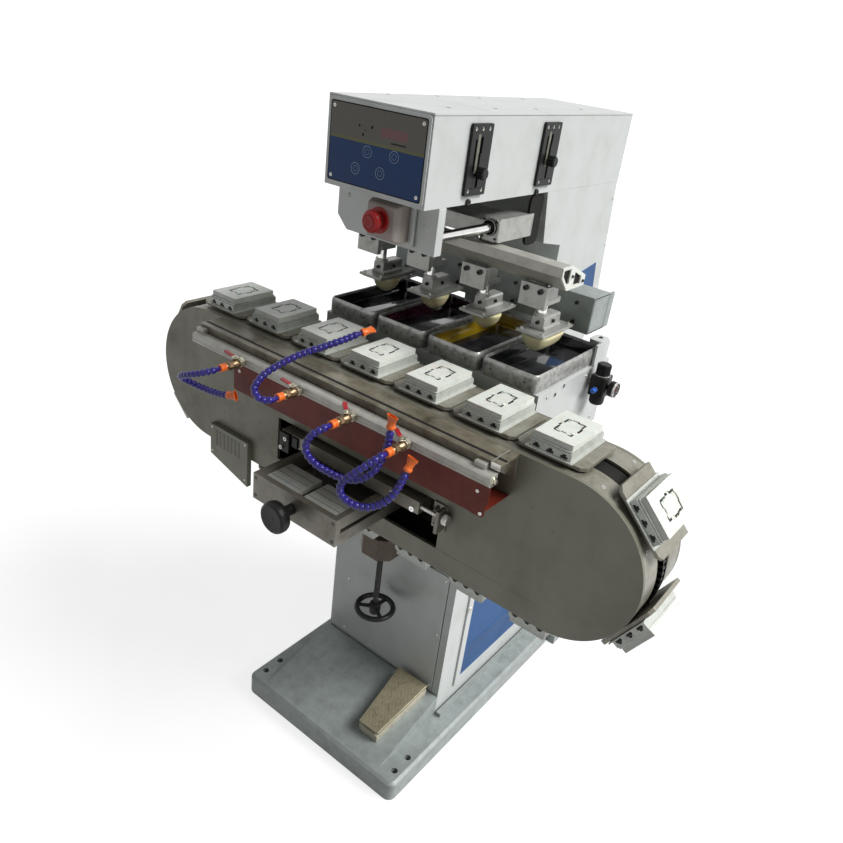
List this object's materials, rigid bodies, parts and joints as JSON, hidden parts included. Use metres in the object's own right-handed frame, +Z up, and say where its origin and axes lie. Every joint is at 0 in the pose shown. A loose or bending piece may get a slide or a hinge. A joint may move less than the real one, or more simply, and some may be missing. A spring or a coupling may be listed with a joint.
{
  "type": "pad printing machine",
  "caption": "Multi-colour pad printing machine with open ink trays, a sliding pad head and an oval indexing conveyor of jigs on a pedestal.",
  "frame": {"origin": "on the floor under the machine, on the centre plane of the head and under the front of the ink trays", "axes": "+X along the conveyor to the operator's right, +Y from the operator to the back, +Z up"},
  "size_m": [1.3877, 1.0383, 1.56],
  "materials": {
    "grey_paint": "light silver-grey satin machine paint",
    "blue_paint": "blue satin paint",
    "panel_film": "printed membrane film, grey above and blue below",
    "plate_steel": "ground and stained steel plate",
    "bright_chrome": "ground and chromed shaft",
    "bare_aluminium": "milled aluminium",
    "valve_brass": "nickel-plated and bare brass",
    "cast_knee": "oiled brown casting",
    "cast_pedal": "cast, cream and gold, worn",
    "black_plastic": "black moulded plastic",
    "red_plastic": "red moulded plastic",
    "red_guard": "rust-red painted sheet",
    "hose_plastic": "deep blue segmented hose with orange nozzle",
    "jig_plastic": "white plastic jig on a slotted aluminium block",
    "silicone": "cream silicone rubber"
  },
  "bodies": {
    "machine": {"base_frame": "grey_paint", "pedestal_shell": "grey_paint", "front_cover": "grey_paint", "side_door": "blue_paint", "bed_housing": "grey_paint", "ink_tray_1": "bare_aluminium", "ink_tray_2": "bare_aluminium", "ink_tray_3": "bare_aluminium", "ink_tray_4": "bare_aluminium", "machine_column": "grey_paint", "rear_crossbeam": "grey_paint", "head_shell": "grey_paint", "control_panel": "panel_film", "apron_plate": "grey_paint", "guide_shaft_left": "bright_chrome", "guide_shaft_right": "bright_chrome", "slider_plate_front": "black_plastic", "slider_plate_rear": "black_plastic", "air_regulator": "black_plastic", "pedal_base": "cast_pedal", "pedal_cable": "bright_chrome"},
    "knee": {"knee_bracket": "cast_knee", "cross_slide_frame": "plate_steel"},
    "lift_wheel": {"lift_handwheel": "black_plastic"},
    "in_out_screw": {"in_out_knob": "black_plastic"},
    "saddle": {"cross_saddle": "plate_steel"},
    "side_screw": {"side_knob": "bright_chrome"},
    "conveyor": {"conveyor_front_plate": "plate_steel", "conveyor_rear_plate": "plate_steel", "drive_housing": "grey_paint", "conveyor_ledge": "plate_steel", "air_manifold": "bare_aluminium", "guard_plate": "red_guard", "valve_1": "valve_brass", "valve_2": "valve_brass", "valve_3": "valve_brass", "valve_4": "valve_brass", "air_hose_1": "hose_plastic", "air_hose_2": "hose_plastic", "air_hose_3": "hose_plastic", "air_hose_4": "hose_plastic"},
    "lever_1": {"valve_lever_1": "red_plastic"},
    "lever_2": {"valve_lever_2": "red_plastic"},
    "lever_3": {"valve_lever_3": "red_plastic"},
    "lever_4": {"valve_lever_4": "red_plastic"},
    "stations_top": {"station_run_top": "jig_plastic"},
    "stations_right": {"station_run_right": "jig_plastic"},
    "stations_bottom": {"station_run_bottom": "jig_plastic"},
    "stations_left": {"station_run_left": "jig_plastic"},
    "carriage": {"carriage_block": "bare_aluminium"},
    "pad_head": {"pad_beam": "bare_aluminium", "pad_1": "silicone", "pad_2": "silicone", "pad_3": "silicone", "pad_4": "silicone"},
    "stop_button": {"estop_button": "red_plastic"},
    "slider_front": {"slider_knob_front": "black_plastic"},
    "slider_rear": {"slider_knob_rear": "black_plastic"},
    "treadle": {"pedal_treadle": "cast_pedal"}
  },
  "joints": [
    {"name": "lift_slide", "type": "slide", "parent": "machine", "child": "knee", "axis": [0, 0, 1], "range_m": [-0.01, 0.01]},
    {"name": "lift_wheel_turn", "type": "hinge", "parent": "machine", "child": "lift_wheel", "pos_m": [0.01, -0.182, 0.354], "axis": [0, 0, 1], "range_deg": [-370, 370]},
    {"name": "in_out_slide", "type": "slide", "parent": "knee", "child": "saddle", "axis": [0, 1, 0], "range_m": [-0.02, 0.02]},
    {"name": "in_out_turn", "type": "hinge", "parent": "knee", "child": "in_out_screw", "pos_m": [-0.022, -0.5, 0.772], "axis": [0, 1, 0], "range_deg": [-740, 740]},
    {"name": "side_slide", "type": "slide", "parent": "saddle", "child": "conveyor", "axis": [1, 0, 0], "range_m": [-0.02, 0.02]},
    {"name": "side_turn", "type": "hinge", "parent": "conveyor", "child": "side_screw", "pos_m": [0.26, -0.32, 0.823], "axis": [1, 0, 0], "range_deg": [-740, 740]},
    {"name": "lever_1_turn", "type": "hinge", "parent": "conveyor", "child": "lever_1", "pos_m": [-0.2647, -0.412, 1.012], "axis": [0, 0, 1], "range_deg": [-90, 0]},
    {"name": "lever_2_turn", "type": "hinge", "parent": "conveyor", "child": "lever_2", "pos_m": [-0.0887, -0.412, 1.012], "axis": [0, 0, 1], "range_deg": [-90, 0]},
    {"name": "lever_3_turn", "type": "hinge", "parent": "conveyor", "child": "lever_3", "pos_m": [0.0584, -0.412, 1.012], "axis": [0, 0, 1], "range_deg": [-50, 40]},
    {"name": "lever_4_turn", "type": "hinge", "parent": "conveyor", "child": "lever_4", "pos_m": [0.1969, -0.412, 1.012], "axis": [0, 0, 1], "range_deg": [-59, 31]},
    {"name": "station_index", "type": "slide", "parent": "conveyor", "child": "stations_top", "axis": [1, 0, 0], "range_m": [0, 0.025]},
    {"name": "station_turn_right", "type": "hinge", "parent": "conveyor", "child": "stations_right", "pos_m": [0.494, -0.219, 0.857], "axis": [0, 1, 0], "range_deg": [0, 13]},
    {"name": "station_return", "type": "slide", "parent": "conveyor", "child": "stations_bottom", "axis": [-1, 0, 0], "range_m": [0, 0.025]},
    {"name": "station_turn_left", "type": "hinge", "parent": "conveyor", "child": "stations_left", "pos_m": [-0.494, -0.219, 0.857], "axis": [0, 1, 0], "range_deg": [0, 13]},
    {"name": "carriage_travel", "type": "slide", "parent": "machine", "child": "carriage", "axis": [0, 1, 0], "range_m": [-0.19, 0.02]},
    {"name": "pad_stroke", "type": "slide", "parent": "carriage", "child": "pad_head", "axis": [0, 0, 1], "range_m": [-0.024, 0]},
    {"name": "stop_press", "type": "slide", "parent": "machine", "child": "stop_button", "axis": [0, 1, 0], "range_m": [0, 0.004], "stiffness_N_per_m": 800, "springref_m": -0.002},
    {"name": "slider_front_move", "type": "slide", "parent": "machine", "child": "slider_front", "axis": [0, 0, 1], "range_m": [-0.018, 0.018]},
    {"name": "slider_rear_move", "type": "slide", "parent": "machine", "child": "slider_rear", "axis": [0, 0, 1], "range_m": [-0.018, 0.018]},
    {"name": "treadle_press", "type": "hinge", "parent": "machine", "child": "treadle", "pos_m": [0.1215, -0.135, 0.139], "axis": [1, 0, 0], "range_deg": [0, 2.4], "stiffness_Nm_per_rad": 12, "springref_deg": -5.73}
  ],
  "couplings": [
    {"joint": "lift_wheel_turn", "follows": "lift_slide", "rad_per_m": 628.3},
    {"joint": "in_out_turn", "follows": "in_out_slide", "rad_per_m": 628.3},
    {"joint": "side_turn", "follows": "side_slide", "rad_per_m": 628.3},
    {"joint": "station_turn_right", "follows": "station_index", "rad_per_m": 8.854},
    {"joint": "station_return", "follows": "station_index", "ratio": 1},
    {"joint": "station_turn_left", "follows": "station_index", "rad_per_m": 8.854}
  ]
}
